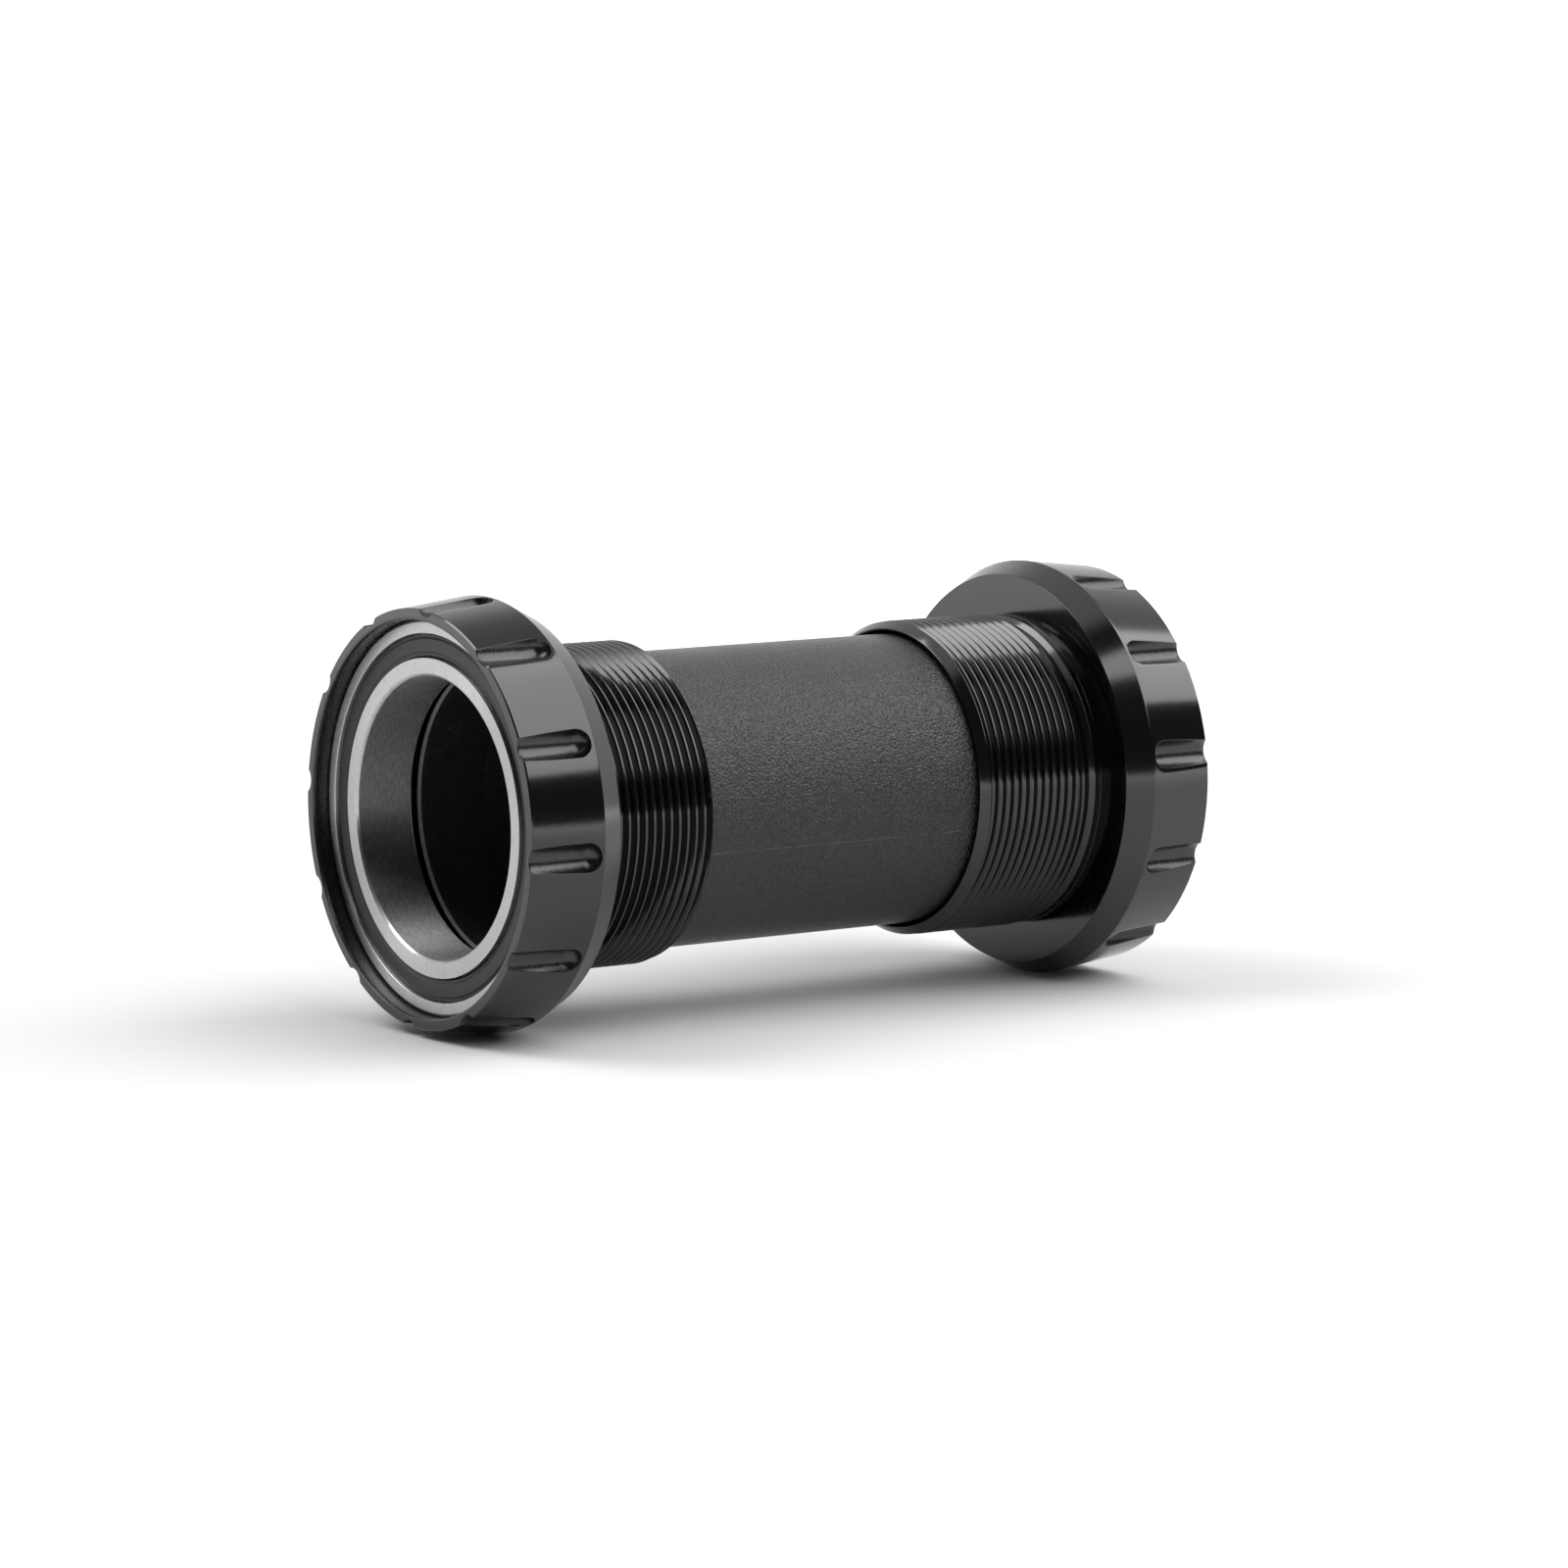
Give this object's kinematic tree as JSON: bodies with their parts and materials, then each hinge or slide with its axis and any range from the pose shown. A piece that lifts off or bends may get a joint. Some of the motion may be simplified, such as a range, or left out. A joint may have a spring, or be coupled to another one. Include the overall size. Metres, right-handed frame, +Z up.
{
  "type": "bottom bracket",
  "caption": "Bicycle bottom bracket: two fluted, externally threaded cups with ball bearings, joined by a thin centre sleeve, open through for the crank spindle.",
  "frame": {"origin": "on the spindle axis, midway between the two cups, which is the bicycle's centre plane", "axes": "+X along the spindle axis towards right_cup, +Z up as the assembly lies on its cups' flanges, +Y to the back"},
  "size_m": [0.0886, 0.0464, 0.0464],
  "materials": {
    "cup_anodised": "satin black anodised",
    "bearing_steel": "ground",
    "seal_rubber": "moulded nitrile",
    "cage_plastic": "moulded nylon",
    "ball_ceramic": "polished ceramic",
    "o_ring_rubber": "smooth",
    "sleeve_plastic": "fine moulded grain"
  },
  "bodies": {
    "left_cup": {"left_cup": "cup_anodised", "left_outer_ring": "bearing_steel", "left_outer_seal": "seal_rubber", "left_inner_seal": "seal_rubber"},
    "sleeve": {"centre_sleeve": "sleeve_plastic", "left_o_ring": "o_ring_rubber", "right_o_ring": "o_ring_rubber"},
    "right_cup": {"right_cup": "cup_anodised", "right_outer_ring": "bearing_steel", "right_outer_seal": "seal_rubber", "right_inner_seal": "seal_rubber"},
    "left_inner_ring": {"left_inner_ring": "bearing_steel"},
    "right_inner_ring": {"right_inner_ring": "bearing_steel"},
    "left_ball_set": {"left_cage": "cage_plastic", "left_ball_01": "ball_ceramic", "left_ball_02": "ball_ceramic", "left_ball_03": "ball_ceramic", "left_ball_04": "ball_ceramic", "left_ball_05": "ball_ceramic", "left_ball_06": "ball_ceramic", "left_ball_07": "ball_ceramic", "left_ball_08": "ball_ceramic", "left_ball_09": "ball_ceramic", "left_ball_10": "ball_ceramic", "left_ball_11": "ball_ceramic", "left_ball_12": "ball_ceramic", "left_ball_13": "ball_ceramic", "left_ball_14": "ball_ceramic", "left_ball_15": "ball_ceramic", "left_ball_16": "ball_ceramic", "left_ball_17": "ball_ceramic", "left_ball_18": "ball_ceramic", "left_ball_19": "ball_ceramic", "left_ball_20": "ball_ceramic", "left_ball_21": "ball_ceramic", "left_ball_22": "ball_ceramic"},
    "right_ball_set": {"right_cage": "cage_plastic", "right_ball_01": "ball_ceramic", "right_ball_02": "ball_ceramic", "right_ball_03": "ball_ceramic", "right_ball_04": "ball_ceramic", "right_ball_05": "ball_ceramic", "right_ball_06": "ball_ceramic", "right_ball_07": "ball_ceramic", "right_ball_08": "ball_ceramic", "right_ball_09": "ball_ceramic", "right_ball_10": "ball_ceramic", "right_ball_11": "ball_ceramic", "right_ball_12": "ball_ceramic", "right_ball_13": "ball_ceramic", "right_ball_14": "ball_ceramic", "right_ball_15": "ball_ceramic", "right_ball_16": "ball_ceramic", "right_ball_17": "ball_ceramic", "right_ball_18": "ball_ceramic", "right_ball_19": "ball_ceramic", "right_ball_20": "ball_ceramic", "right_ball_21": "ball_ceramic", "right_ball_22": "ball_ceramic"}
  },
  "joints": [
    {"name": "sleeve_turn", "type": "hinge", "parent": "left_cup", "child": "sleeve", "pos_m": [0, 0, 0], "axis": [1, 0, 0], "continuous": true},
    {"name": "right_cup_slide", "type": "slide", "parent": "sleeve", "child": "right_cup", "axis": [1, 0, 0], "range_m": [0, 0.0066]},
    {"name": "left_bearing_turn", "type": "hinge", "parent": "left_cup", "child": "left_inner_ring", "pos_m": [-0.03903, 0, 0], "axis": [1, 0, 0], "continuous": true},
    {"name": "right_bearing_turn", "type": "hinge", "parent": "right_cup", "child": "right_inner_ring", "pos_m": [0.03903, 0, 0], "axis": [1, 0, 0], "continuous": true},
    {"name": "left_cage_turn", "type": "hinge", "parent": "left_cup", "child": "left_ball_set", "pos_m": [-0.03903, 0, 0], "axis": [1, 0, 0], "continuous": true},
    {"name": "right_cage_turn", "type": "hinge", "parent": "right_cup", "child": "right_ball_set", "pos_m": [0.03903, 0, 0], "axis": [1, 0, 0], "continuous": true}
  ],
  "couplings": [
    {"joint": "left_cage_turn", "follows": "left_bearing_turn", "ratio": 0.4559},
    {"joint": "right_cage_turn", "follows": "right_bearing_turn", "ratio": 0.4559}
  ]
}
